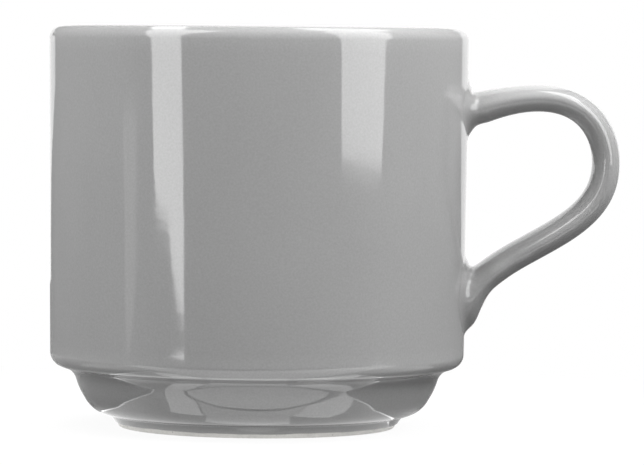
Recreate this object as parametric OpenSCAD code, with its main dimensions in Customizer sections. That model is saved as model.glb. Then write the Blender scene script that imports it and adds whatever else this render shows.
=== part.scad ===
// Stacking cappuccino cup: a glazed porcelain body on a stepped base, with one side handle.
// Millimetres. The origin is the centre of the foot ring on the table, +Z is up and the handle is on +X.

/* [Cup wall] */
// Height from the table to the top of the lip
cup_h = 78; // [70:0.5:95]
// Outside diameter at the lip, over the glaze
rim_d = 81.8; // [78:0.1:95]
// Outside diameter at the bottom of the wall, over the glaze
shoulder_d = 80.5; // [77:0.1:93]
// Wall thickness at the lip, glaze included
wall_t = 3.2; // [2.6:0.1:4.5]
// Share of that thickness that is rounded off at the outside of the lip
lip_share = 0.78; // [0.5:0.01:0.8]
// Wall thickness at the level of the floor, glaze included
wall_low_t = 3.8; // [3:0.1:5]
// Height of the inside floor above the table
floor_z = 6.2; // [5.4:0.1:8]
// Radius between the inside wall and the floor
inside_r = 15; // [12:0.5:18]
// Least wall between the corner of the step and the inside, glaze included
step_wall_t = 2; // [1.6:0.1:2.6]

/* [Stacking base] */
// Diameter of the base at the step under the shoulder
step_d = 71.6; // [68:0.1:74]
// Height of that step above the table
step_z = 11; // [9:0.1:12]
// Rise of the shoulder's underside from the step out to the wall
shoulder_rise = 1.45; // [1:0.05:3]
// Radius of the shoulder's outer corner
shoulder_r = 2.7; // [1.5:0.1:3.5]
// Radius in the corner of the step
step_r = 3.5; // [0.4:0.1:4.5]
// Diameter of the base at its lower corner, before that is rounded
base_d = 64; // [62:0.1:68]
// Height of the lower corner above the table
base_z = 3; // [2.6:0.1:4]
// Radius of the lower corner
base_r = 6; // [2:0.1:7]
// Diameter of the base at its belly, where its side turns further in
belly_d = 69.2; // [67:0.1:71]
// Height of the belly above the table
belly_z = 7.4; // [6:0.1:8.5]
// Rounding of the belly
belly_r = 12; // [4:0.5:16]

/* [Foot ring] */
// Outside diameter of the foot ring at the table
foot_d = 54.2; // [50:0.1:56]
// Outside diameter of the foot ring where it meets the base
foot_top_d = 57; // [52:0.1:58]
// Height of the foot ring at its outside
foot_h = 2.3; // [1.8:0.1:2.7]
// Width of the foot ring at the table
foot_w = 2.8; // [2:0.1:4]
// Draft of the foot ring: how much wider it is at the top of its hollow than at the table
foot_draft = 1.5; // [1.2:0.1:2]
// Depth of the hollow inside the foot ring
recess_h = 2; // [1.6:0.1:2.4]
// Radius where the foot ring meets the base, outside and inside
foot_r = 0.8; // [0.5:0.1:1]
// Rounding of the two edges that stand on the table
foot_edge_r = 0.5; // [0.2:0.1:0.8]
// Height of bare clay above the table, where the glaze is wiped off
bare_h = 0.9; // [0.7:0.1:1.2]

/* [Handle] */
// Reach of the handle's outermost face from the wall, over the glaze
handle_reach = 29.8; // [26:0.05:36]
// Drop from the lip to the outermost point
reach_drop = 26; // [24:0.5:30]
// Width of the bar, front to back, at its outermost point
bar_w = 12; // [7:0.1:14]
// Width of the bar at both its ends
bar_end_w = 15.6; // [9:0.1:18]
// Thickness of the bar at its upper end
bar_upper_t = 6.3; // [5:0.1:7]
// Thickness of the bar at its crown
bar_crown_t = 5.3; // [4.5:0.1:6.5]
// Thickness of the bar at its outermost point
bar_outer_t = 5.5; // [4.5:0.1:6.5]
// Thickness of the bar on its lower arm
bar_arm_t = 5.5; // [4.5:0.1:6.5]
// Thickness of the bar at its lower end
bar_lower_t = 5.6; // [4.5:0.1:6.5]
// Reach of the bar's upper end from the wall, where its flare starts
upper_end_reach = 2.85; // [2.5:0.05:4]
// Drop from the lip to the middle of the bar at its upper end
upper_end_drop = 15.4; // [14.5:0.1:16.5]
// Climb of the bar at its upper end, in degrees
upper_end_climb = 12; // [5:1:20]
// Reach of the crown, the highest point of the bar's middle, from the wall
crown_reach = 13.75; // [12:0.05:16]
// Drop from the lip to the bar's middle at the crown
crown_drop = 13.6; // [12:0.1:14.5]
// Reach of the bar's middle from the wall, on its straight lower arm
arm_reach = 10.1; // [9:0.1:11]
// Height of that point above the table
arm_z = 33.8; // [32:0.1:36]
// Slope of the lower arm, in degrees
arm_slope = 30; // [25:1:35]
// Reach of the bar's middle from the wall, at its lower end
lower_end_reach = 4.6; // [4:0.1:5]
// Height of the lower end above the table
lower_end_z = 30.1; // [29:0.1:31]
// Slope of the bar at its lower end, in degrees
lower_end_slope = 38; // [30:1:45]

/* [Handle roots] */
// Drop from the lip to the middle of the upper root on the wall
upper_root_drop = 15.7; // [15:0.1:17]
// Height of the upper root on the wall
upper_root_h = 10.8; // [10:0.1:13]
// Height of the middle of the lower root above the table
lower_root_z = 25.7; // [25:0.1:27]
// Height of the lower root on the wall
lower_root_h = 15; // [14:0.1:16]
// Width of both roots along the wall
root_w = 18; // [12:0.1:20]
// Angle between the root's flare and the wall
root_angle = 45; // [35:1:60]
// Length over which a flare follows the end of the bar
root_lead = 2.8; // [2:0.1:3.5]
// Thickness of the slip that joins the handle to the wall
slip_t = 0.6; // [0.5:0.1:1]

/* [Glaze] */
// Thickness of the glaze
glaze_t = 0.3; // [0.2:0.05:0.4]
// Width of the glaze around each root, where it runs out on the wall
glaze_run = 0.8; // [0.7:0.1:1.2]

/* [Handle curve] */
// Length over which the bar keeps its direction after its upper end
upper_pull = 0.9; // [0.5:0.1:2]
// Length over which it keeps its direction before the crown
crown_pull_in = 5.4; // [4:0.1:6]
// The same after the crown
crown_pull_out = 10.3; // [8:0.1:11]
// The same before the outermost point
outer_pull_in = 4.9; // [4:0.1:7]
// The same after the outermost point
outer_pull_out = 9.8; // [8:0.1:11]
// The same before the point on the lower arm
arm_pull_in = 9.8; // [8:0.1:11]
// The same after that point
arm_pull_out = 2.8; // [2:0.1:3]
// The same before the lower end
lower_pull = 2.1; // [1.5:0.1:2.5]

/* [Hidden] */

glaze_grey = "#9b9b9b";
biscuit_white = "#efece5";
slip_white = "#e2ded5";

// Fineness of the arcs, the turned solids and the handle
arc_step = 6;
turned_sides = 128;
bar_sides = 24;
bar_steps = [7, 12, 13, 4];
root_steps = 7;
cap_rings = 5;
// Least rounding that a corner keeps under the glaze
least_r = 0.1;
// Share of a flare's length over which it follows the wall
root_share = 0.45;

rim_radius = rim_d / 2;
shoulder_radius = shoulder_d / 2;
shoulder_z = step_z + shoulder_rise;
// The lip is rounded mostly on its outside, with a hair of flat at its top
lip_flat_share = 0.04;
lip_outer_r = lip_share * wall_t;
lip_inner_r = (1 - lip_share - lip_flat_share) * wall_t;
lip_middle = rim_radius - (lip_share + lip_flat_share / 2) * wall_t;
foot_radius = foot_d / 2;
foot_inner = foot_radius - foot_w;
// The inner side of the foot ring leans with its outer side, and by its draft
foot_lean = foot_top_d / 2 - foot_radius;
foot_inner_top = foot_inner + foot_lean - foot_draft;

// Finished surface as corners [radius, height, rounding], walked with the clay on the left.
// Hollow of the foot ring, from the axis to the table
under_corners = [
    [0, recess_h, 0],
    [foot_inner_top, recess_h, foot_r],
    [foot_inner, 0, foot_edge_r]
];
// Outside, from the table to the top of the wall
outside_corners = [
    [foot_radius, 0, foot_edge_r],
    [foot_top_d / 2, foot_h, foot_r],
    [base_d / 2, base_z, base_r],
    [belly_d / 2, belly_z, belly_r],
    [step_d / 2, step_z, step_r],
    [shoulder_radius, shoulder_z, shoulder_r],
    [rim_radius, cup_h, lip_outer_r]
];
// Inside, from the lip to the axis; its rounding grows where it would leave too little wall at the step
inside_top = [rim_radius - wall_t, cup_h];
inside_low = [shoulder_radius - wall_low_t, floor_z];
inside_round = max(
    inside_r,
    clear_radius(inside_low, unit(inside_low - inside_top), [-1, 0], [step_d / 2, step_z], step_wall_t)
);
inside_corners = [
    concat(inside_top, lip_inner_r),
    concat(inside_low, inside_round),
    [0, floor_z, 0]
];
under_count = len(under_corners);
outside_count = len(outside_corners);
all_corners = concat(under_corners, outside_corners, inside_corners);

// The clay lies one glaze thickness under the finished surface, but not on the face that stands on the table
edge_shift = [for (i = [0 : len(all_corners) - 2]) i == under_count - 1 ? 0 : -glaze_t];
clay_corners = shifted(all_corners, edge_shift);
inside_first = under_count + outside_count;
lip_top = [lip_middle, cup_h];
clay_lip_top = [lip_middle, cup_h - glaze_t];

// Directions and corners in the plane of the outline
function unit(v) = v / norm(v);
function right_of(u) = [u[1], -u[0]];
function spot(c) = [c[0], c[1]];
function heading(c, i) = unit(spot(c[i + 1]) - spot(c[i]));

// Least radius of a rounding at corner p, between directions u and v, that leaves a wall t up to point s
function clear_radius(p, u, v, s, t) =
    let (
        k = (v - u) / sqrt(1 - pow(u * v, 2)),
        d = s - p,
        a = k * k - 1,
        b = d * k + t,
        root = b * b - a * (d * d - t * t)
    )
    root > 0 ? (b + sqrt(root)) / a : 0;

// Corner p moved so that its two edges, with outward normals m and n, shift by a and b
function moved(p, m, a, n, b) =
    let (d = cross(m, n))
    [p[0] + (a * n[1] - b * m[1]) / d, p[1] + (m[0] * b - n[0] * a) / d];

// Corners with every edge shifted outward by its own amount, and the roundings kept parallel
function shifted(c, by) = [
    for (i = [0 : len(c) - 1])
        i == 0 ? concat(spot(c[0]) + by[0] * right_of(heading(c, 0)), 0)
        : i == len(c) - 1 ? concat(spot(c[i]) + by[i - 1] * right_of(heading(c, i - 1)), 0)
        : let (
            u = heading(c, i - 1),
            v = heading(c, i),
            p = moved(spot(c[i]), right_of(u), by[i - 1], right_of(v), by[i]),
            grow = sign(cross(u, v)) * (by[i - 1] + by[i]) / 2
        )
        concat(p, max(c[i][2] + grow, least_r))
];

// Room for a rounding on the edge from corner i to corner j, shared where both ends are rounded
function room(c, i, j) =
    norm(spot(c[j]) - spot(c[i])) * (c[j][2] > 0 ? c[i][2] / (c[i][2] + c[j][2]) : 1);

function corner_arc(c, i) =
    let (
        u = heading(c, i - 1),
        v = heading(c, i),
        turn = acos(u * v),
        side = sign(cross(u, v)),
        back = min(c[i][2] * tan(turn / 2), room(c, i, i - 1), room(c, i, i + 1)),
        r = back / tan(turn / 2),
        start = spot(c[i]) - back * u,
        inward = side * [-u[1], u[0]],
        middle = start + r * inward,
        first = atan2(-inward[1], -inward[0]),
        steps = ceil(turn / arc_step)
    )
    [for (k = [0 : steps]) let (a = first + side * turn * k / steps) middle + r * [cos(a), sin(a)]];

// Rounded outline from corner i to corner j of a list
function rounded(c, i, j) = [
    for (k = [i : j])
        each (k == 0 || k == len(c) - 1 || c[k][2] == 0) ? [spot(c[k])] : corner_arc(c, k)
];
function reversed(list) = [for (i = [len(list) - 1 : -1 : 0]) list[i]];

// An outline that climbs from the table, from where it first reaches height z
function from_height(points, z) =
    let (
        first = min([for (i = [1 : len(points) - 1]) if (points[i][1] >= z) i]),
        low = points[first - 1],
        high = points[first],
        t = (z - low[1]) / (high[1] - low[1])
    )
    concat([low + t * (high - low)], [for (i = [first : len(points) - 1]) points[i]]);

// Outlines of the three coats on the finished corners or on the clay, each from its bare edge or the lip
function outside_of(c, top) =
    concat(from_height(rounded(c, under_count, inside_first - 1), bare_h), [top]);
function inside_of(c, top) =
    concat([top], rounded(c, inside_first, len(c) - 1));
function underside_of(c) =
    from_height(reversed(rounded(c, 0, under_count - 1)), bare_h);

// A coat between a finished outline and the clay under it
module coat(finished, clay) {
    rotate_extrude($fn = turned_sides)
        polygon(concat(finished, reversed(clay)));
}

// Radius of the outer wall at height z, at a depth under the finished surface
function wall_radius(z, depth) =
    let (t = (z - shoulder_z) / (cup_h - shoulder_z))
    shoulder_radius + t * (rim_radius - shoulder_radius) - depth;

// Point of the bar's middle at a reach from the wall, at height z
function off_wall(reach, z) = [wall_radius(z, 0) + reach, z];

// Between its ends and its outermost point the bar tapers
bar_mid_w = (bar_end_w + bar_w) / 2;
// Stations of the bar's middle: [x, z, heading, pull in, pull out, thickness, width]
stations = [
    concat(off_wall(upper_end_reach, cup_h - upper_end_drop),
        [upper_end_climb, 0, upper_pull, bar_upper_t, bar_end_w]),
    concat(off_wall(crown_reach, cup_h - crown_drop),
        [0, crown_pull_in, crown_pull_out, bar_crown_t, bar_mid_w]),
    concat(off_wall(handle_reach - bar_outer_t / 2, cup_h - reach_drop),
        [-90, outer_pull_in, outer_pull_out, bar_outer_t, bar_w]),
    concat(off_wall(arm_reach, arm_z),
        [arm_slope - 180, arm_pull_in, arm_pull_out, bar_arm_t, bar_mid_w]),
    concat(off_wall(lower_end_reach, lower_end_z),
        [lower_end_slope - 180, lower_pull, 0, bar_lower_t, bar_end_w])
];
last_station = len(stations) - 1;

function along(angle) = [cos(angle), sin(angle)];
function bend(p, t) =
    pow(1 - t, 3) * p[0] + 3 * pow(1 - t, 2) * t * p[1] + 3 * (1 - t) * t * t * p[2] + pow(t, 3) * p[3];
function bend_way(p, t) =
    pow(1 - t, 2) * (p[1] - p[0]) + 2 * (1 - t) * t * (p[2] - p[1]) + t * t * (p[3] - p[2]);
function eased(t) = t * t * (3 - 2 * t);

function span_points(i) =
    let (a = stations[i], b = stations[i + 1])
    [spot(a), spot(a) + a[4] * along(a[2]), spot(b) - b[3] * along(b[2]), spot(b)];

// Oval section of the bar on span i at t, under a skin of the given thickness
function bar_ring(i, t, skin) =
    let (
        p = span_points(i),
        c = bend(p, t),
        way = unit(bend_way(p, t)),
        outward = [-way[1], way[0]],
        thick = stations[i][5] + eased(t) * (stations[i + 1][5] - stations[i][5]),
        wide = stations[i][6] + eased(t) * (stations[i + 1][6] - stations[i][6]),
        half_t = thick / 2 - skin,
        half_w = wide / 2 - skin
    )
    [for (k = [0 : bar_sides - 1])
        let (a = 360 * k / bar_sides, q = c + half_t * cos(a) * outward)
        [q[0], half_w * sin(a), q[1]]];

function bar_rings(skin) = concat(
    [for (i = [0 : last_station - 1])
        each [for (j = [0 : bar_steps[i] - 1]) bar_ring(i, j / bar_steps[i], skin)]],
    [bar_ring(last_station - 1, 1, skin)]
);

// Each root: [height of its middle, half height, which way its outer side faces]
upper_root = [cup_h - upper_root_drop, upper_root_h / 2, 1];
lower_root = [lower_root_z, lower_root_h / 2, -1];

// A root's outline as [y, z], drawn in by an inset and then scaled towards its middle
function root_outline(root, inset, share) = [
    for (k = [0 : bar_sides - 1])
        let (a = 360 * k / bar_sides)
        [share * (root_w / 2 - inset) * sin(a), root[0] + share * root[2] * (root[1] - inset) * cos(a)]
];
function on_wall(p, depth) = [sqrt(pow(wall_radius(p[1], depth), 2) - p[0] * p[0]), p[0], p[1]];
function root_ring(root, inset, depth, share = 1) =
    [for (p = root_outline(root, inset, share)) on_wall(p, depth)];

// Direction in which the flare leaves the wall at point k of a root's outline
function flare_way(root, inset, point, k) =
    let (
        a = 360 * k / bar_sides,
        out = unit([sin(a) / (root_w / 2 - inset), root[2] * cos(a) / (root[1] - inset)]),
        normal = unit([point[0], point[1], 0]),
        sideways = [-normal[1], normal[0], 0]
    )
    sin(root_angle) * normal - cos(root_angle) * (out[0] * sideways + out[1] * [0, 0, 1]);

// Rings of a flare from the wall to the end of the bar; bar_way points from the bar to the wall
function root_rings(root, inset, depth, end_ring, bar_way) =
    let (wall_ring = root_ring(root, inset, depth))
    [for (j = [0 : root_steps - 1])
        [for (k = [0 : bar_sides - 1])
            let (
                foot = wall_ring[k],
                end = end_ring[k],
                reach = root_share * norm(end - foot)
            )
            bend([
                foot,
                foot + reach * flare_way(root, inset, foot, k),
                end + root_lead * bar_way,
                end
            ], j / root_steps)]];

upper_way = -[along(stations[0][2])[0], 0, along(stations[0][2])[1]];
lower_way = [along(stations[last_station][2])[0], 0, along(stations[last_station][2])[1]];

// The whole bar with both flares, under a skin, its roots drawn in by an inset and at a depth in the wall
function handle_rings(skin, inset, depth) =
    let (bar = bar_rings(skin))
    concat(
        root_rings(upper_root, inset, depth, bar[0], upper_way),
        bar,
        reversed(root_rings(lower_root, inset, depth, bar[len(bar) - 1], lower_way))
    );

// Rings that close a root over the curve of the wall, from near its middle to near its outline
function cap(root, inset, depth) =
    [for (j = [1 : cap_rings - 1]) root_ring(root, inset, depth, j / cap_rings)];
function cap_middle(root, depth) = on_wall([0, root[0]], depth);

function flat(rings) = [for (ring = rings) each ring];
function next(k) = (k + 1) % bar_sides;
function band(p, q) = [
    for (k = [0 : bar_sides - 1])
        each [[p + k, p + next(k), q + next(k)], [p + k, q + next(k), q + k]]
];

// Closed solid through a row of rings, with a middle point at each end
module rod(rings, first, last) {
    count = len(rings);
    end = (count - 1) * bar_sides;
    first_at = count * bar_sides;
    last_at = first_at + 1;
    polyhedron(
        points = concat(flat(rings), [first, last]),
        faces = concat(
            [for (i = [0 : count - 2]) each band(i * bar_sides, (i + 1) * bar_sides)],
            [for (k = [0 : bar_sides - 1]) [next(k), k, first_at]],
            [for (k = [0 : bar_sides - 1]) [end + k, end + next(k), last_at]]
        )
    );
}

// Sleeve between an outer and an inner row of rings, open at both ends
module sleeve(outer, inner) {
    outer_count = len(outer);
    start = outer_count * bar_sides;
    inner_count = len(inner);
    polyhedron(
        points = concat(flat(outer), flat(inner)),
        faces = concat(
            [for (i = [0 : outer_count - 2]) each band(i * bar_sides, (i + 1) * bar_sides)],
            [for (i = [0 : inner_count - 2]) each band(start + (i + 1) * bar_sides, start + i * bar_sides)],
            band(start, 0),
            band((outer_count - 1) * bar_sides, start + (inner_count - 1) * bar_sides)
        )
    );
}

clay_depth = glaze_t;
slip_depth = glaze_t - slip_t;

// Thin pad of slip between the clay wall and one end of the handle
module slip_pad(root) {
    pad = concat(
        cap(root, glaze_run, clay_depth),
        [root_ring(root, glaze_run, clay_depth), root_ring(root, glaze_run, slip_depth)],
        reversed(cap(root, glaze_run, slip_depth))
    );
    middles = [cap_middle(root, clay_depth), cap_middle(root, slip_depth)];
    if (root[2] > 0)
        rod(pad, middles[0], middles[1]);
    else
        rod(reversed(pad), middles[1], middles[0]);
}

// Opening in the outer glaze where a slip pad passes through it
module root_opening(root) {
    rotate([90, 0, 90])
        linear_extrude(height = rim_d)
            polygon(root_outline(root, glaze_run, 1));
}

// Formed clay shell with its foot ring
module biscuit_body() {
    color(biscuit_white)
        rotate_extrude($fn = turned_sides)
            polygon(rounded(clay_corners, 0, len(clay_corners) - 1));
}

// Cast clay bar with its two flared ends, cut to the curve of the wall
module handle() {
    color(biscuit_white)
        rod(
            concat(
                cap(upper_root, glaze_run, slip_depth),
                handle_rings(glaze_t, glaze_run, slip_depth),
                reversed(cap(lower_root, glaze_run, slip_depth))
            ),
            cap_middle(upper_root, slip_depth),
            cap_middle(lower_root, slip_depth)
        );
}

module upper_slip_joint() {
    color(slip_white)
        slip_pad(upper_root);
}

module lower_slip_joint() {
    color(slip_white)
        slip_pad(lower_root);
}

// Glaze on the outside, from the bare line of the foot ring to the top of the lip
module outer_glaze() {
    color(glaze_grey)
        difference() {
            coat(outside_of(all_corners, lip_top), outside_of(clay_corners, clay_lip_top));
            root_opening(upper_root);
            root_opening(lower_root);
        }
}

// Glaze on the inside, from the top of the lip to the middle of the floor
module lining_glaze() {
    color(glaze_grey)
        coat(inside_of(all_corners, lip_top), inside_of(clay_corners, clay_lip_top));
}

// Glaze on the handle and over both slip joints
module handle_glaze() {
    color(glaze_grey)
        sleeve(
            handle_rings(0, 0, 0),
            concat(
                [root_ring(upper_root, glaze_run, 0)],
                handle_rings(glaze_t, glaze_run, slip_depth),
                [root_ring(lower_root, glaze_run, 0)]
            )
        );
}

// Glaze in the hollow of the foot ring
module underside_glaze() {
    color(glaze_grey)
        coat(underside_of(all_corners), underside_of(clay_corners));
}

biscuit_body();
handle();
upper_slip_joint();
lower_slip_joint();
outer_glaze();
lining_glaze();
handle_glaze();
underside_glaze();
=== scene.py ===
import math
from collections import namedtuple

import bmesh
import bpy
from mathutils import Matrix, Vector


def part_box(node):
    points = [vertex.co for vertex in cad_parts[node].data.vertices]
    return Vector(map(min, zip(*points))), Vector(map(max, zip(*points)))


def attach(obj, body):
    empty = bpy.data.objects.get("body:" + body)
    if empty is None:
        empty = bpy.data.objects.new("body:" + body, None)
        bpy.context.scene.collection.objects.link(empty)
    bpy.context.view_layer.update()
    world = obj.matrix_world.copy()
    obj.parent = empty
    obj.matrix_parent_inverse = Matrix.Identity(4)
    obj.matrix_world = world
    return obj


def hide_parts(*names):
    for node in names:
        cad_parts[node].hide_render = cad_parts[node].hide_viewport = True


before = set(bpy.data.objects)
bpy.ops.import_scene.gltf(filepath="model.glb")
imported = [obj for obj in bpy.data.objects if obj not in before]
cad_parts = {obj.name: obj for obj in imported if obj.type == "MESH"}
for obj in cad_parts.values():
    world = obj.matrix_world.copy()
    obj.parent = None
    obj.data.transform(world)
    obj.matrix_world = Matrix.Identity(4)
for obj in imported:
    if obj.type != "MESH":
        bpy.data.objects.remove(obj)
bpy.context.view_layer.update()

scene = bpy.context.scene
scene.view_settings.view_transform = "Standard"

# Lengths are in millimetres in the part's frame, and the meshes are made in metres
MM = 0.001
UP = Vector((0, 0, 1))

# Cup outline over the glaze
CUP_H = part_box("outer_glaze")[1].z / MM
RIM_R = 40.9
SHOULDER_R = 40.25
WALL_T = 3.2
WALL_LOW_T = 3.8
FLOOR_Z = 6.2
INSIDE_ROUND = 15
STEP_R = 35.8
STEP_Z = 11
STEP_ROUND = 3.5
SHOULDER_Z = 12.45
SHOULDER_ROUND = 2.7
BELLY_R = 34.6
BELLY_Z = 7.4
BELLY_ROUND = 12
BASE_R = 32
BASE_Z = 3
BASE_ROUND = 6
FOOT_R = 27.1
FOOT_TOP_R = 28.5
FOOT_H = 2.3
FOOT_W = 2.8
FOOT_INNER_TOP_R = 24.2
RECESS_H = 2
FOOT_ROUND = 0.8
FOOT_EDGE_ROUND = 0.5
LIP_OUTER_ROUND = 0.78 * WALL_T
LIP_INNER_ROUND = 0.18 * WALL_T
LIP_MIDDLE = RIM_R - 0.8 * WALL_T
GLAZE_T = 0.3
BARE_H = 0.9
LEAST_ROUND = 0.1

# Fineness: degrees of arc per step on the glaze and on the clay, segments round the cup, longest straight
# step, the radius below which a point counts as on the axis, and the angle from which an edge is sharp
ARC_STEP = 3
CLAY_STEP = 9
SEGMENTS = 256
LONGEST_STEP = 2.5
ON_AXIS = 1e-6
SHARP_EDGE = math.radians(50)

# Reach along the outline over which a bend thins or pools the glaze; this paints highlights over convex bends
# and shade into concave ones
BEND_REACH = 1.6
# Painted highlight: a pale line along the shoulder's lower edge, laid on as the glaze breaking thin there
HIGHLIGHT_BREAK_FROM_R = STEP_R + 2
HIGHLIGHT_BREAK_Z = 12.1
HIGHLIGHT_BREAK_REACH = 0.2
HIGHLIGHT_BREAK_GAIN = 10
# The wiped edge of the glaze: how it rolls over to the clay, and how far it wanders
ROLL_STEPS = 6
ROLL_SHARE = 0.9
ROLL_DROP = 0.06
WIPE_WANDER = 0.11

# Handle: reach from the wall, thickness at the outermost point, widths there, at the arms and at the ends
HANDLE_REACH = 29.8
BAR_T = 5.5
BAR_W = 12
BAR_ARM_W = 13.8
BAR_END_W = 15.6
# Stations of the bar's middle from the upper end to the lower: reach from the wall, height, heading in
# degrees, pull of the curve before and after the station, thickness and width
Station = namedtuple("Station", "reach z heading pull_in pull_out thick wide")
STATIONS = [
    Station(2.85, CUP_H - 15.4, 12, 0, 0.9, 6.3, BAR_END_W),
    Station(13.75, CUP_H - 13.6, 0, 5.4, 10.3, 5.3, BAR_ARM_W),
    Station(HANDLE_REACH - BAR_T / 2, CUP_H - 26, -90, 4.9, 9.8, BAR_T, BAR_W),
    Station(10.1, 33.8, 30 - 180, 9.8, 2.8, 5.5, BAR_ARM_W),
    Station(4.6, 30.1, 38 - 180, 2.1, 0, 5.6, BAR_END_W),
]
BAR_STEPS = [20, 34, 38, 14]
BAR_SIDES = 64
ROUND_BAR = [2 * math.pi * k / BAR_SIDES for k in range(BAR_SIDES)]
# Roots on the wall: height of the middle and which way the outer side faces. Then, each for the outer side,
# the flanks and the inner side: distance from the middle, angle to the wall, share of the way over which that
# angle leads, lead of the bar's own direction, and reach of the hollow rounding on the wall
Root = namedtuple("Root", "z outer_side half lean lead bar_lead hollow")
UPPER_ROOT = Root(
    CUP_H - 15.7, 1, (5.4, 9, 5.4), (45, 72, 45), (0.45, 0.35, 0.45), (2.8, 2, 2.8), (1, 1.6, 1.2),
)
LOWER_ROOT = Root(
    25.7, -1, (6.5, 9, 7.5), (83, 72, 45), (0.31, 0.35, 0.45), (5.2, 4, 2.8), (1.6, 1.8, 1.2),
)
ROUNDING_STEPS = 10
ROUNDING_PULL = 0.6
ROUNDING_TRIES = 200
LAST_JOIN = 0.9
FLARE_STEPS = 14
ROOT_STEPS = ROUNDING_STEPS + FLARE_STEPS
# Painted shade in the hollows where the roots meet the wall, laid on as pooled glaze
ROOT_POOL_AND_SHADE = 0.4
SLIP_T = 0.6
GLAZE_RUN = 0.8
# Depth to which the edge of the handle's glaze is sunk in the wall's glaze
ROOT_SINK = 0.006


# Outlines of the cup, as corners (radius, height, rounding)

def unit(v):
    length = math.hypot(*v)
    return tuple(c / length for c in v)


def turn_sign(u, v):
    return u[0] * v[1] - u[1] * v[0]


def heading(corners, i):
    return unit((corners[i + 1][0] - corners[i][0], corners[i + 1][1] - corners[i][1]))


def moved(p, m, a, n, b):
    """The point that lies a further than p along the direction m, and b further along n."""
    d = turn_sign(m, n)
    return p[0] + (a * n[1] - b * m[1]) / d, p[1] + (m[0] * b - n[0] * a) / d


def shifted(corners, by):
    """Corners with every edge shifted outward by its own amount, and the roundings kept parallel."""
    out = []
    last = len(corners) - 1
    for i, (r, z, rounding) in enumerate(corners):
        if i in (0, last):
            u = heading(corners, min(i, last - 1))
            k = by[min(i, last - 1)]
            out.append((r + k * u[1], z - k * u[0], 0))
            continue
        u, v = heading(corners, i - 1), heading(corners, i)
        p = moved((r, z), (u[1], -u[0]), by[i - 1], (v[1], -v[0]), by[i])
        grow = math.copysign((by[i - 1] + by[i]) / 2, turn_sign(u, v) * (by[i - 1] + by[i]))
        out.append((*p, max(rounding + grow, LEAST_ROUND)))
    return out


def corner_arc(corners, i, step):
    """Points of a rounded corner as (radius, height, bend), bend being 1 / radius, positive where convex."""
    u, v = heading(corners, i - 1), heading(corners, i)
    turn = math.acos(max(-1, min(1, u[0] * v[0] + u[1] * v[1])))
    side = math.copysign(1, turn_sign(u, v))
    r = corners[i][2]
    back = r * math.tan(turn / 2)
    start = (corners[i][0] - back * u[0], corners[i][1] - back * u[1])
    inward = (-side * u[1], side * u[0])
    middle = (start[0] + r * inward[0], start[1] + r * inward[1])
    first = math.atan2(-inward[1], -inward[0])
    steps = max(2, math.ceil(math.degrees(turn) / step))
    points = []
    for k in range(steps + 1):
        a = first + side * turn * k / steps
        points.append((middle[0] + r * math.cos(a), middle[1] + r * math.sin(a), side / r))
    return points


def rounded(corners, i, j, step):
    """Points along the outline from corner i to corner j."""
    points = []
    for k in range(i, j + 1):
        if k in (0, len(corners) - 1):
            points.append((corners[k][0], corners[k][1], 0))
        else:
            points += corner_arc(corners, k, step)
    return points


def from_height(points, z):
    """The part of a rising outline that lies above a height."""
    first = next(i for i in range(1, len(points)) if points[i][1] >= z)
    low, high = points[first - 1], points[first]
    t = (z - low[1]) / (high[1] - low[1])
    cut = (low[0] + t * (high[0] - low[0]), z, 0)
    return [cut] + points[first:]


def filled(points):
    """Points added along straight edges, so that no step is longer than LONGEST_STEP."""
    out = [points[0]]
    for p, q in zip(points, points[1:]):
        n = max(1, math.ceil(math.hypot(q[0] - p[0], q[1] - p[1]) / LONGEST_STEP))
        for k in range(1, n):
            t = k / n
            out.append((p[0] + t * (q[0] - p[0]), p[1] + t * (q[1] - p[1]), 0))
        out.append(q)
    return out


UNDER = [
    (0, RECESS_H, 0),
    (FOOT_INNER_TOP_R, RECESS_H, FOOT_ROUND),
    (FOOT_R - FOOT_W, 0, FOOT_EDGE_ROUND),
]
OUTSIDE = [
    (FOOT_R, 0, FOOT_EDGE_ROUND),
    (FOOT_TOP_R, FOOT_H, FOOT_ROUND),
    (BASE_R, BASE_Z, BASE_ROUND),
    (BELLY_R, BELLY_Z, BELLY_ROUND),
    (STEP_R, STEP_Z, STEP_ROUND),
    (SHOULDER_R, SHOULDER_Z, SHOULDER_ROUND),
    (RIM_R, CUP_H, LIP_OUTER_ROUND),
]
INSIDE = [
    (RIM_R - WALL_T, CUP_H, LIP_INNER_ROUND),
    (SHOULDER_R - WALL_LOW_T, FLOOR_Z, INSIDE_ROUND),
    (0, FLOOR_Z, 0),
]
FINISHED = UNDER + OUTSIDE + INSIDE
# The clay lies under the glaze but for the foot's flat, which is the edge after the last corner of UNDER
CLAY = shifted(FINISHED, [0 if i == len(UNDER) - 1 else -GLAZE_T for i in range(len(FINISHED) - 1)])
FIRST_OUT = len(UNDER)
FIRST_IN = len(UNDER) + len(OUTSIDE)
LIP_TOP = (LIP_MIDDLE, CUP_H, 1 / LIP_OUTER_ROUND)
CLAY_LIP_TOP = (LIP_MIDDLE, CUP_H - GLAZE_T, 0)


# Meshes of the glaze

def wave(angle):
    """Unevenness of a hand-wiped glaze edge, from -1 to 1, round the cup."""
    slow = math.sin(5 * angle + 0.7) + 0.7 * math.sin(11 * angle + 2.1)
    return (slow + 0.5 * math.sin(23 * angle) + 0.3 * math.sin(41 * angle + 4)) / 2.5


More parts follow.
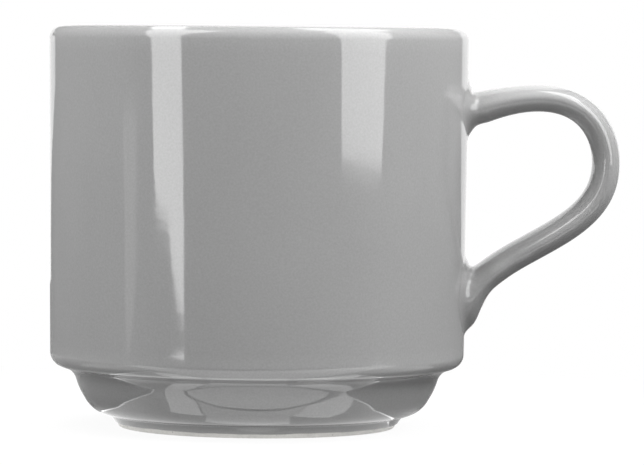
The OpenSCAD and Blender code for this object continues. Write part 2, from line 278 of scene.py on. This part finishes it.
def thin_highlight_and_pool_shade(points):
    """Thin with painted highlight and pool with painted shade along an outline, each 0 to 1, from nearby
    bends.
    """
    place = [0.0]
    for p, q in zip(points, points[1:]):
        place.append(place[-1] + math.hypot(q[0] - p[0], q[1] - p[1]))
    last = len(points) - 1
    share = [0.5 * (place[min(i + 1, last)] - place[max(i - 1, 0)]) for i in range(len(points))]
    out = []
    for here in place:
        thin_and_highlight = pool_and_shade = 0.0
        for there, length, (_, _, bend) in zip(place, share, points):
            far = abs(there - here)
            if bend and far < 3 * BEND_REACH:
                pull = math.exp(-(far / BEND_REACH) ** 2) * length * abs(bend)
                if bend > 0:
                    thin_and_highlight += pull
                else:
                    pool_and_shade += pull
        out.append((min(1, thin_and_highlight), min(1, pool_and_shade)))
    return out


def glaze_layers(bm):
    """The layers that the glaze reads: thin with painted highlight, and pool with painted shade."""
    layers = bm.verts.layers.float
    return layers.new("thin_and_highlight"), layers.new("pool_and_shade")


def bridge(bm, rings):
    """Smooth faces from each ring to the next and from the last to the first, with sharp edges kept sharp.
    A ring may be a single point."""
    for i, a in enumerate(rings):
        b = rings[(i + 1) % len(rings)]
        count = max(len(a), len(b))
        if count == 1:
            continue
        for k in range(count):
            n = (k + 1) % count
            if len(a) == 1:
                corners = (a[0], b[n], b[k])
            elif len(b) == 1:
                corners = (a[k], a[n], b[0])
            else:
                corners = (a[k], a[n], b[n], b[k])
            bm.faces.new(corners).smooth = True
    for edge in bm.edges:
        if len(edge.link_faces) == 2 and edge.calc_face_angle(0) > SHARP_EDGE:
            edge.smooth = False


def new_object(name, bm, material):
    bmesh.ops.recalc_face_normals(bm, faces=bm.faces[:])
    mesh = bpy.data.meshes.new(name)
    bm.to_mesh(mesh)
    bm.free()
    obj = bpy.data.objects.new(name, mesh)
    scene.collection.objects.link(obj)
    mesh.materials.append(material)
    return obj


def lathe(name, skin, clay, material, wiped):
    """A turned coat between a finished outline and the clay outline under it. If it is wiped by hand at its
    first end, its edge rolls over to the clay there and wanders a little."""
    skin = filled(skin)
    # Rows as (radius, height, thin with painted highlight, pool with painted shade, share of the wander)
    rows = []
    for (r, z, _), (thin_and_highlight_value, pool_and_shade_value) in zip(skin, thin_highlight_and_pool_shade(skin)):
        # A painted highlight line on the shoulder's lower edge, laid on as glaze breaking thin
        if HIGHLIGHT_BREAK_FROM_R < r <= SHOULDER_R:
            thin_and_highlight_value += HIGHLIGHT_BREAK_GAIN * math.exp(-((z - HIGHLIGHT_BREAK_Z) / HIGHLIGHT_BREAK_REACH) ** 2)
        rows.append((r, z, thin_and_highlight_value, pool_and_shade_value, 0))
    inner = [(r, z, 0, 0, 0) for r, z, _ in reversed(clay)]
    if wiped:
        skin_r, low, _ = skin[0]
        clay_r = inner.pop()[0]
        roll = []
        for k in range(ROLL_STEPS + 1):
            a = math.pi / 2 * k / ROLL_STEPS
            rise = GLAZE_T * (1 - math.cos(a)) * ROLL_SHARE - ROLL_DROP
            roll.append((clay_r + (skin_r - clay_r) * math.sin(a), low + rise, 1, 0, 1))
        rows = roll + [row for row in rows if row[1] > low + GLAZE_T]
    bm = bmesh.new()
    thin_and_highlight, pool_and_shade = glaze_layers(bm)
    rings = []
    for r, z, thin_and_highlight_value, pool_and_shade_value, wander in rows + inner:
        ring = []
        for k in range(SEGMENTS if r > ON_AXIS else 1):
            a = 2 * math.pi * k / SEGMENTS
            lift = WIPE_WANDER * wave(a) * wander
            v = bm.verts.new((r * math.cos(a) * MM, r * math.sin(a) * MM, (z + lift) * MM))
            v[thin_and_highlight], v[pool_and_shade] = thin_and_highlight_value, pool_and_shade_value
            ring.append(v)
        rings.append(ring)
    bridge(bm, rings)
    return new_object(name, bm, material)


# Handle

def wall_radius(z, depth=0):
    t = (z - SHOULDER_Z) / (CUP_H - SHOULDER_Z)
    return SHOULDER_R + t * (RIM_R - SHOULDER_R) - depth


def station_point(s):
    return Vector((wall_radius(s.z) + s.reach, s.z))


def along(angle):
    a = math.radians(angle)
    return Vector((math.cos(a), math.sin(a)))


def bezier(p, t):
    return (1 - t) ** 3 * p[0] + 3 * (1 - t) ** 2 * t * p[1] + 3 * (1 - t) * t * t * p[2] + t ** 3 * p[3]


def bezier_way(p, t):
    return (1 - t) ** 2 * (p[1] - p[0]) + 2 * (1 - t) * t * (p[2] - p[1]) + t * t * (p[3] - p[2])


def bar_ring(i, t, skin):
    """Ring round the bar on the way t from station i to the next, with the surface sunk by skin."""
    a, b = STATIONS[i], STATIONS[i + 1]
    pa, pb = station_point(a), station_point(b)
    p = [pa, pa + a.pull_out * along(a.heading), pb - b.pull_in * along(b.heading), pb]
    c, way = bezier(p, t), bezier_way(p, t).normalized()
    outer_side = Vector((-way.y, way.x))
    eased = t * t * (3 - 2 * t)
    half_t = (a.thick + eased * (b.thick - a.thick)) / 2 - skin
    half_w = (a.wide + eased * (b.wide - a.wide)) / 2 - skin
    ring = []
    for turn in ROUND_BAR:
        q = c + half_t * math.cos(turn) * outer_side
        ring.append(Vector((q.x, half_w * math.sin(turn), q.y)))
    return ring


def on_wall(y, z, depth):
    return Vector((math.sqrt(wall_radius(z, depth) ** 2 - y * y), y, z))


def by_side(values, a):
    """A value between those for the outer side, the flanks and the inner side, at an angle round the root."""
    outer, flank, inner = values
    c = math.cos(a)
    return outer * max(0, c) ** 2 + flank * math.sin(a) ** 2 + inner * max(0, -c) ** 2


def root_halves(root, a, inset):
    """Half the root's height and width on the wall, at an angle round it."""
    outer, flank, inner = root.half
    return (outer if math.cos(a) > 0 else inner) - inset, flank - inset


def root_point(root, a, inset, depth):
    half_h, half_w = root_halves(root, a, inset)
    return on_wall(half_w * math.sin(a), root.z + root.outer_side * half_h * math.cos(a), depth)


def root_ring(root, inset, depth):
    return [root_point(root, a, inset, depth) for a in ROUND_BAR]


def flare_way(root, inset, point, a):
    """The direction in which the root leaves the wall at a point."""
    half_h, half_w = root_halves(root, a, inset)
    out = Vector((math.sin(a) / half_w, root.outer_side * math.cos(a) / half_h)).normalized()
    normal = Vector((point.x, point.y, 0)).normalized()
    sideways = Vector((-normal.y, normal.x, 0))
    lean = math.radians(by_side(root.lean, a))
    return math.sin(lean) * normal - math.cos(lean) * (out.x * sideways + out.y * UP)


def root_rings(root, inset, depth, end_ring, bar_way, hollow):
    """Rings from the wall to the end of the bar. With hollow set, a rounding blends them into the wall."""
    paths = []
    for a, end in zip(ROUND_BAR, end_ring):
        foot = root_point(root, a, inset, depth)
        reach = by_side(root.lead, a) * (end - foot).length
        lead = by_side(root.bar_lead, a) * bar_way
        p = [foot, foot + reach * flare_way(root, inset, foot, a), end + lead, end]
        if not hollow:
            steps = FLARE_STEPS // 2
            paths.append([bezier(p, j / steps) for j in range(steps)])
            continue
        size = by_side(root.hollow, a)
        tries = [k / ROUNDING_TRIES for k in range(1, ROUNDING_TRIES)]
        t = next((s for s in tries if (bezier(p, s) - foot).length > size), LAST_JOIN)
        joined, way = bezier(p, t), bezier_way(p, t).normalized()
        start = root_point(root, a, inset - size, depth)
        q = [start, start + ROUNDING_PULL * (foot - start), joined - ROUNDING_PULL * size * way, joined]
        path = [bezier(q, j / ROUNDING_STEPS) for j in range(ROUNDING_STEPS)]
        path += [bezier(p, t + (1 - t) * j / FLARE_STEPS) for j in range(FLARE_STEPS)]
        paths.append(path)
    return [list(ring) for ring in zip(*paths)]


def handle_rings(skin, inset, depth, finer):
    """Rings of the upper root, the bar and the lower root, from the upper wall to the lower."""
    bar = []
    for i, count in enumerate(BAR_STEPS):
        n = count if finer else max(3, count // 3)
        bar += [bar_ring(i, j / n, skin) for j in range(n)]
    bar.append(bar_ring(len(BAR_STEPS) - 1, 1, skin))
    first, last = along(STATIONS[0].heading), along(STATIONS[-1].heading)
    upper = root_rings(UPPER_ROOT, inset, depth, bar[0], Vector((-first.x, 0, -first.y)), finer)
    lower = root_rings(LOWER_ROOT, inset, depth, bar[-1], Vector((last.x, 0, last.y)), finer)
    return upper + bar + lower[::-1]


def handle_coat(name, material):
    """Glaze sleeve over the bar and both roots; its edges lie in the wall's glaze and shade into it."""
    outer = handle_rings(0, 0, ROOT_SINK, True)
    inner = handle_rings(GLAZE_T, GLAZE_RUN, GLAZE_T - SLIP_T, False)
    inner.insert(0, root_ring(UPPER_ROOT, GLAZE_RUN, ROOT_SINK))
    inner.append(root_ring(LOWER_ROOT, GLAZE_RUN, ROOT_SINK))
    bm = bmesh.new()
    _, pool_and_shade = glaze_layers(bm)
    rings = []
    for i, ring in enumerate(outer + inner[::-1]):
        from_wall = min(i, len(outer) - 1 - i) / ROOT_STEPS if i < len(outer) else 1
        made = []
        for p in ring:
            v = bm.verts.new(p * MM)
            # Painted shade in the root hollows next to the wall, laid on as pooled glaze
            v[pool_and_shade] = ROOT_POOL_AND_SHADE * math.sin(math.pi * from_wall) ** 2 if from_wall < 1 else 0
            made.append(v)
        rings.append(made)
    bridge(bm, rings)
    return new_object(name, bm, material)


# Materials

class Tree:
    """The node tree of a material or world, emptied, with short ways to add nodes and get their outputs."""

    def __init__(self, owner):
        owner.use_nodes = True
        self.nodes = owner.node_tree.nodes
        self.links = owner.node_tree.links
        self.nodes.clear()

    def node(self, kind, inputs=None, **settings):
        """A new node. inputs gives a value or another node's output for an input's name or number."""
        n = self.nodes.new("ShaderNode" + kind)
        for key, value in settings.items():
            setattr(n, key, value)
        for key, value in (inputs or {}).items():
            if isinstance(value, bpy.types.NodeSocket):
                self.links.new(value, n.inputs[key])
            else:
                n.inputs[key].default_value = value
        return n

    def coords(self):
        return self.node("TexCoord").outputs["Object"]

    def attribute(self, name):
        return self.node("Attribute", attribute_name=name).outputs["Fac"]

    def noise(self, coords, scale, detail, rough=0.5):
        n = self.node("TexNoise", {"Vector": coords, "Scale": scale, "Detail": detail, "Roughness": rough})
        return n.outputs["Fac"]

    def spread(self, value, low, high, to_low, to_high):
        """A value from low to high, mapped to the range from to_low to to_high."""
        ends = {"From Min": low, "From Max": high, "To Min": to_low, "To Max": to_high}
        return self.node("MapRange", {"Value": value, **ends}).outputs["Result"]

    def maths(self, kind, a, b):
        return self.node("Math", {0: a, 1: b}, operation=kind).outputs[0]

    def product(self, first, *others):
        for other in others:
            first = self.maths("MULTIPLY", first, other)
        return first

    def colour(self, red, green, blue):
        return self.node("CombineColor", {0: red, 1: green, 2: blue}).outputs["Color"]

    def bump(self, strength, distance, height, **before):
        """A bump of the surface. before may give the Normal of another bump."""
        inputs = {"Strength": strength, "Distance": distance * MM, "Height": height, **before}
        return self.node("Bump", inputs).outputs["Normal"]

    def mixed(self, share, first, second):
        return self.node("MixShader", {0: share, 1: first, 2: second}).outputs[0]


GLAZE_LEVEL = 0.3
GLAZE_IOR = 1.5


def glaze_material():
    """Glossy neutral grey glaze, cloudy and speckled: paler where thin, with painted highlights, deeper where
    pooled, with painted shade.
    """
    m = bpy.data.materials.new("grey_glaze")
    t = Tree(m)
    coords = t.coords()
    cloud = t.spread(t.noise(coords, 45, 3), 0.25, 0.75, 0.975, 1.025)
    speck = t.spread(t.noise(coords, 2600, 2), 0.25, 0.75, 0.94, 1.06)
    # Paler where thin, with painted highlights, and deeper where pooled, with painted shade
    paler_and_painted_highlight = t.spread(t.attribute("thin_and_highlight"), 0, 12, 1, 2)
    deeper_and_painted_shade = t.spread(t.attribute("pool_and_shade"), 0, 1, 1, 0.82)
    level = t.product(cloud, speck, paler_and_painted_highlight, deeper_and_painted_shade, GLAZE_LEVEL)
    peel = t.bump(0.25, 0.02, t.noise(coords, 700, 2))
    swell = t.bump(0.35, 0.08, t.noise(coords, 70, 1), Normal=peel)
    bsdf = t.node("BsdfPrincipled", {
        "Base Color": t.colour(level, level, level),
        "Roughness": t.spread(t.noise(coords, 160, 3), 0.3, 0.7, 0.04, 0.08),
        "IOR": GLAZE_IOR,
        "Normal": swell,
    })
    t.node("OutputMaterial", {"Surface": bsdf.outputs["BSDF"]})
    return m


def clay_material(name, level, warm):
    """Bare fired porcelain: matt, finely grained, with a few iron specks and faint handling marks."""
    m = bpy.data.materials.new(name)
    t = Tree(m)
    coords = t.coords()
    grain = t.spread(t.noise(coords, 1800, 3), 0.25, 0.75, 0.93, 1.05)
    marks = t.spread(t.noise(coords, 120, 4, 0.6), 0.45, 0.8, 1, 0.86)
    cells = t.node("TexVoronoi", {"Vector": coords, "Scale": 420})
    specks = t.spread(cells.outputs["Distance"], 0.03, 0.09, 0.6, 1)
    tone = t.product(grain, marks, specks)
    bsdf = t.node("BsdfPrincipled", {
        "Base Color": t.colour(*(t.product(tone, level * share) for share in warm)),
        "Roughness": t.spread(t.noise(coords, 900, 2), 0.3, 0.7, 0.72, 0.88),
        "Normal": t.bump(0.5, 0.05, t.noise(coords, 2200, 3)),
    })
    t.node("OutputMaterial", {"Surface": bsdf.outputs["BSDF"]})
    return m


glaze = glaze_material()
biscuit = clay_material("biscuit", 0.82, (1, 0.985, 0.95))
slip = clay_material("slip", 0.74, (1, 0.98, 0.94))

outer_skin = from_height(rounded(FINISHED, FIRST_OUT, FIRST_IN - 1, ARC_STEP), BARE_H) + [LIP_TOP]
outer_clay = from_height(rounded(CLAY, FIRST_OUT, FIRST_IN - 1, CLAY_STEP), BARE_H) + [CLAY_LIP_TOP]
lining_skin = [LIP_TOP] + rounded(FINISHED, FIRST_IN, len(FINISHED) - 1, ARC_STEP)
lining_clay = [CLAY_LIP_TOP] + rounded(CLAY, FIRST_IN, len(CLAY) - 1, CLAY_STEP)
under_skin = from_height(rounded(FINISHED, 0, FIRST_OUT - 1, ARC_STEP)[::-1], BARE_H)
under_clay = from_height(rounded(CLAY, 0, FIRST_OUT - 1, CLAY_STEP)[::-1], BARE_H)
coats = [
    ("outer_glaze", lathe("outer_glaze_coat", outer_skin, outer_clay, glaze, True)),
    ("lining_glaze", lathe("lining_glaze_coat", lining_skin, lining_clay, glaze, False)),
    ("underside_glaze", lathe("underside_glaze_coat", under_skin, under_clay, glaze, True)),
    ("handle_glaze", handle_coat("handle_glaze_coat", glaze)),
]
for node, piece in coats:
    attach(piece, "root")
    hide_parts(node)
for node, material in (
    ("biscuit_body", biscuit), ("handle", biscuit), ("upper_slip_joint", slip), ("lower_slip_joint", slip),
):
    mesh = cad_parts[node].data
    mesh.materials.clear()
    mesh.materials.append(material)

# Stage, with x to the camera's right and y away from it, as in the part's frame
TABLE_RINGS = (0, 30, 60, 90, 120, 150, 180)
TABLE_SEGMENTS = 96
# How white the table is near the cup, and the radii between which it turns all white
TABLE_WHITE = 0.94
WHITE_FROM, WHITE_TO = 60, 150
# Its dull tone to all but the camera, left and right of the places between which the tone changes
DULL_LEFT, DULL_RIGHT = 0.25, 0.08
DULL_FROM, DULL_TO = 30, 55
# The glow under the foot, and the radii between which it ends
TABLE_GLOW = 0.4
GLOW_FROM, GLOW_TO = 33, 37


def table_material():
    """White to the camera, all white further out. To the cup it is dull, with a glow under the foot."""
    m = bpy.data.materials.new("table_top")
    t = Tree(m)
    coords = t.coords()
    far = t.node("VectorMath", {0: coords}, operation="LENGTH").outputs["Value"]
    fade = t.spread(far, WHITE_FROM * MM, WHITE_TO * MM, TABLE_WHITE, 1)
    fade.node.interpolation_type = "SMOOTHSTEP"
    near = t.node("BsdfDiffuse", {"Color": (0.9, 0.9, 0.9, 1)}).outputs[0]
    seen = t.mixed(fade, near, t.node("Emission").outputs[0])
    to_right = t.node("SeparateXYZ", {0: coords}).outputs["X"]
    tone = t.spread(to_right, DULL_FROM * MM, DULL_TO * MM, DULL_LEFT, DULL_RIGHT)
    matt = t.node("BsdfDiffuse", {"Color": t.colour(tone, tone, tone)}).outputs[0]
    ending = t.spread(far, GLOW_FROM * MM, GLOW_TO * MM, TABLE_GLOW, 0)
    glow = t.node("Emission", {"Strength": ending}).outputs[0]
    unseen = t.node("AddShader", {0: matt, 1: glow}).outputs[0]
    by_camera = t.node("LightPath").outputs["Is Camera Ray"]
    t.node("OutputMaterial", {"Surface": t.mixed(by_camera, unseen, seen)})
    return m


def table_top():
    bm = bmesh.new()
    rings = []
    for r in TABLE_RINGS:
        turns = [2 * math.pi * k / TABLE_SEGMENTS for k in range(TABLE_SEGMENTS if r else 1)]
        rings.append([bm.verts.new((r * math.cos(a) * MM, r * math.sin(a) * MM, 0)) for a in turns])
    for a, b in zip(rings, rings[1:]):
        for k in range(TABLE_SEGMENTS):
            n = (k + 1) % TABLE_SEGMENTS
            bm.faces.new((a[0], b[k], b[n]) if len(a) == 1 else (a[k], b[k], b[n], a[n]))
    new_object("table_top", bm, table_material())


table_top()

GLOSS_FRONT = 0.66
GLOSS_BACK = 0.28
SKY = 0.36
GROUND = 1.06
# Sine of the angle, to either side, over which one half of the world shades into the other
HALVES_BLEND = 0.25


def studio_world():
    """White behind the cup, dimmer in its gloss and on its diffuse surface."""
    world = bpy.data.worlds.new("studio")
    scene.world = world
    t = Tree(world)
    path = t.node("LightPath").outputs
    way = t.node("TexCoord").outputs["Generated"]

    def shade(strength):
        return t.node("Background", {"Color": (1, 1, 1, 1), "Strength": strength}).outputs[0]

    def share_of(direction):
        n = t.node("VectorMath", {0: way, 1: direction}, operation="DOT_PRODUCT")
        return t.spread(n.outputs["Value"], -HALVES_BLEND, HALVES_BLEND, 0, 1)

    in_gloss = t.mixed(share_of((0, 1, 0)), shade(GLOSS_FRONT), shade(GLOSS_BACK))
    dull = t.mixed(share_of(UP), shade(GROUND), shade(SKY))
    lit = t.mixed(path["Is Glossy Ray"], dull, in_gloss)
    plain = t.maths("MAXIMUM", path["Is Camera Ray"], path["Is Transmission Ray"])
    t.node("OutputWorld", {"Surface": t.mixed(plain, lit, shade(1))})


studio_world()

# Distances from the axis of the lamps and upright cards and of the backdrop, the lamps' size, and the height
# that they aim at
STAGE_R = 660
BACKDROP_R = 700
LAMP_SIZE = 380
LAMP_AIM = 40
# Heights of the flat cards
SHEET_Z = 0.3
CEILING_Z = 1500


def outward(azimuth):
    """The direction from the cup at an azimuth, 0 towards the camera and 90 to the right, and the direction
    in which the azimuth grows there."""
    a = math.radians(azimuth)
    return Vector((math.sin(a), -math.cos(a), 0)), Vector((math.cos(a), math.sin(a), 0))


def placed(at, across, back):
    """The place of a lamp or camera, from its point, its own right and the way that its back faces."""
    return Matrix.Translation(at * MM) @ Matrix((across, back.cross(across), back)).transposed().to_4x4()


def lamp(name, azimuth, rise, level):
    """A soft area lamp that faces the cup and doesn't show in its gloss; level is its radiance."""
    away, side = outward(azimuth)
    lean = math.radians(rise)
    back = math.cos(lean) * away + math.sin(lean) * UP
    data = bpy.data.lights.new(name, "AREA")
    data.size = LAMP_SIZE * MM
    data.energy = level * math.pi * data.size ** 2
    obj = bpy.data.objects.new(name, data)
    scene.collection.objects.link(obj)
    obj.matrix_world = placed(back * STAGE_R + LAMP_AIM * UP, -side, back)
    obj.visible_camera = False
    obj.visible_glossy = False


def upright(azimuth, distance, outline):
    """Corners on an upright plane that faces the cup, from (along the plane, height)."""
    away, side = outward(azimuth)
    return [away * distance + side * u + z * UP for u, z in outline]


def flat(outline, z=SHEET_Z):
    """Corners on a level plane, from (to the right, away from the camera)."""
    return [Vector((x, y, z)) for x, y in outline]


def oblong(x0, x1, y0, y1):
    return [(x0, y0), (x1, y0), (x1, y1), (x0, y1)]


def card(name, corners, level, fade=None):
    """A bright card that shows only in the gloss. fade is (axis, from, to, share): along that axis the card
    grows from a share of its level to all of it."""
    bm = bmesh.new()
    bm.faces.new([bm.verts.new(c * MM) for c in corners])
    m = bpy.data.materials.new(name)
    t = Tree(m)
    strength = level
    if fade:
        axis, first, last, share = fade
        place = t.node("SeparateXYZ", {0: t.coords()}).outputs[axis]
        strength = t.spread(place, first * MM, last * MM, share * level, level)
    t.node("OutputMaterial", {"Surface": t.node("Emission", {"Strength": strength}).outputs[0]})
    obj = new_object(name, bm, m)
    obj.visible_camera = obj.visible_diffuse = obj.visible_shadow = False


for name, azimuth, rise, level in (
    ("right_lamp", 70, 40, 6.9), ("back_right_lamp", 110, 40, 6.5), ("left_lamp", -70, 65, 6.5),
    ("back_left_lamp", -110, 10, 3.9), ("front_lamp", 0, 10, 2.2), ("top_lamp", 0, 90, 3.8),
):
    lamp(name, azimuth, rise, level)

# Softboxes, screens and ceiling
card("left_softbox", upright(-52, STAGE_R, [
    (140, -30), (97, -24), (87, -19), (59, -11), (57, -4.5), (38, 0), (-28, 6.4), (-46, 10), (-61, 20),
    (-65, 37), (-75, 62), (-105, 218), (-240, 600), (-500, 1100), (-752, 1700), (-387, 1872), (170, 1872),
    (170, 1000), (106, 700), (106, 259), (122, 70), (135, 28), (147, 0), (148, -31),
]), 7.8, fade=("Z", 60, -10, 0.87))
card("right_softbox", upright(60, STAGE_R, [
    (-21, 1414), (-168, 570), (-205, 100), (-190, 50), (-180, 17), (100, 17), (111, 42), (118, 62),
    (155, 130), (264, 477), (417, 788), (698, 1433),
]), 6, fade=("Z", 17, 24, 0))
card("backdrop", upright(180, BACKDROP_R, [
    (-500, 47), (-436, 10), (-398, -9), (-366, -14), (231, -14), (231, 0), (269, 21), (323, 31), (370, 37),
    (412, 44), (452, 51), (460, 53), (460, 110), (340, 110), (325, 200), (200, 235), (200, 900), (-200, 900),
    (-200, 320), (-283, 329), (-500, 240),
]), 1.25)
card("left_ceiling", flat([
    (-881, 241), (-738, 449), (-428, 1221), (-293, 990), (-510, 196), (-606, -37),
], CEILING_Z), 7.2)
card("right_ceiling", flat([
    (696, -310), (312, 70), (120, 740), (740, 840), (896, 723), (1065, 538),
], CEILING_Z), 5.6)
card("left_screen", upright(-72, STAGE_R, [
    (-56, 40), (-41, -12), (-28, -42), (-12, -46), (46, -12), (46, 40),
]), 1.5)

# Sheets on the table round the foot, which show in the base
PLINTH_FRONT = [
    (-31.6, -41), (-23, -39.2), (-16, -37), (-10, -35.8), (0, -36), (8, -35.7), (14, -36.2), (20, -37.8),
    (23.6, -38.6), (27, -40),
]
PLINTH_LEFT, PLINTH_LEFT_FRONT = PLINTH_FRONT[0]
PLINTH_RIGHT, PLINTH_RIGHT_FRONT = PLINTH_FRONT[-1]
PLINTH_BACK = 40
EDGE_W = 0.6
PATCH_Z = 0.5
MIDDLE_Z = 0.4

card("left_corner", flat([(-143.7, -143.6), (-132.6, -177.3), (-106.3, -146.5)]), 6.5)
card("plinth", flat(
    PLINTH_FRONT + [(PLINTH_RIGHT, PLINTH_BACK), (PLINTH_LEFT, PLINTH_BACK)],
), 1.25, fade=("Y", -27, -22, 0.8))
card("plinth_left_edge", flat(oblong(PLINTH_LEFT - EDGE_W, PLINTH_LEFT, PLINTH_LEFT_FRONT, 0)), 3.2)
card("plinth_right_edge", flat(oblong(PLINTH_RIGHT, PLINTH_RIGHT + EDGE_W, PLINTH_RIGHT_FRONT, -9)), 3.2)
card("front_sheet", flat([(-95, PLINTH_LEFT_FRONT - EDGE_W)] + [(x, y - EDGE_W) for x, y in PLINTH_FRONT] + [
    (140, PLINTH_RIGHT_FRONT - EDGE_W), (150, -83), (66, -84.7), (20, -65.5), (1, -63.2), (-16, -61.9),
    (-36, -59.5), (-53, -59.3), (-95, -61),
]), 2.6)
card("left_table", flat([
    (-33, -41), (-70, -41), (-72, -18), (-62, -6), (-53, -5), (-44, -22), (-36, -33),
]), 1.2)
card("right_table", flat([(28.5, -40), (75, -40), (75, -8), (53, -4), (44, -20), (34, -32)]), 1.2)
card("plinth_middle", flat([
    (-15.9, -37), (-10, -35.8), (0, -36), (8, -35.7), (12.6, -36), (7.2, -33), (6.5, -28.4), (-10.2, -28.4),
    (-10.8, -31.6),
], MIDDLE_Z), 2.1)
card("left_patch", flat([
    (-29.3, -35.6), (-24.1, -32.3), (-19.1, -29), (-11.4, -31.7), (-16.7, -36.7), (-24.2, -39.2),
], PATCH_Z), 3.1)
card("right_patch", flat([
    (7.6, -33.1), (12.8, -35.6), (23.2, -36.6), (27, -36.2), (27, -31.9), (22.7, -29.1), (15.2, -28.9),
], PATCH_Z), 3.1)

# Camera: place, angles in radians, and focal length and picture width in the photo's pixels
CAMERA_BACK = 866
CAMERA_H = 78
CAMERA_YAW = 0.0144
CAMERA_PITCH = -0.0463
CAMERA_ROLL = 0.0084
FOCAL_PX = 4450
IMAGE_W_PX = 644

ahead = math.cos(CAMERA_PITCH)
forward = Vector((math.sin(CAMERA_YAW) * ahead, math.cos(CAMERA_YAW) * ahead, math.sin(CAMERA_PITCH)))
level_right = forward.cross(UP).normalized()
right = math.cos(CAMERA_ROLL) * level_right + math.sin(CAMERA_ROLL) * level_right.cross(forward)
lens = bpy.data.cameras.new("camera")
lens.sensor_width = 36
lens.lens = FOCAL_PX * lens.sensor_width / IMAGE_W_PX
lens.clip_start, lens.clip_end = 0.05, 20
camera = bpy.data.objects.new("camera", lens)
scene.collection.objects.link(camera)
camera.matrix_world = placed(Vector((0, -CAMERA_BACK, CAMERA_H)), right, -forward)
scene.camera = camera
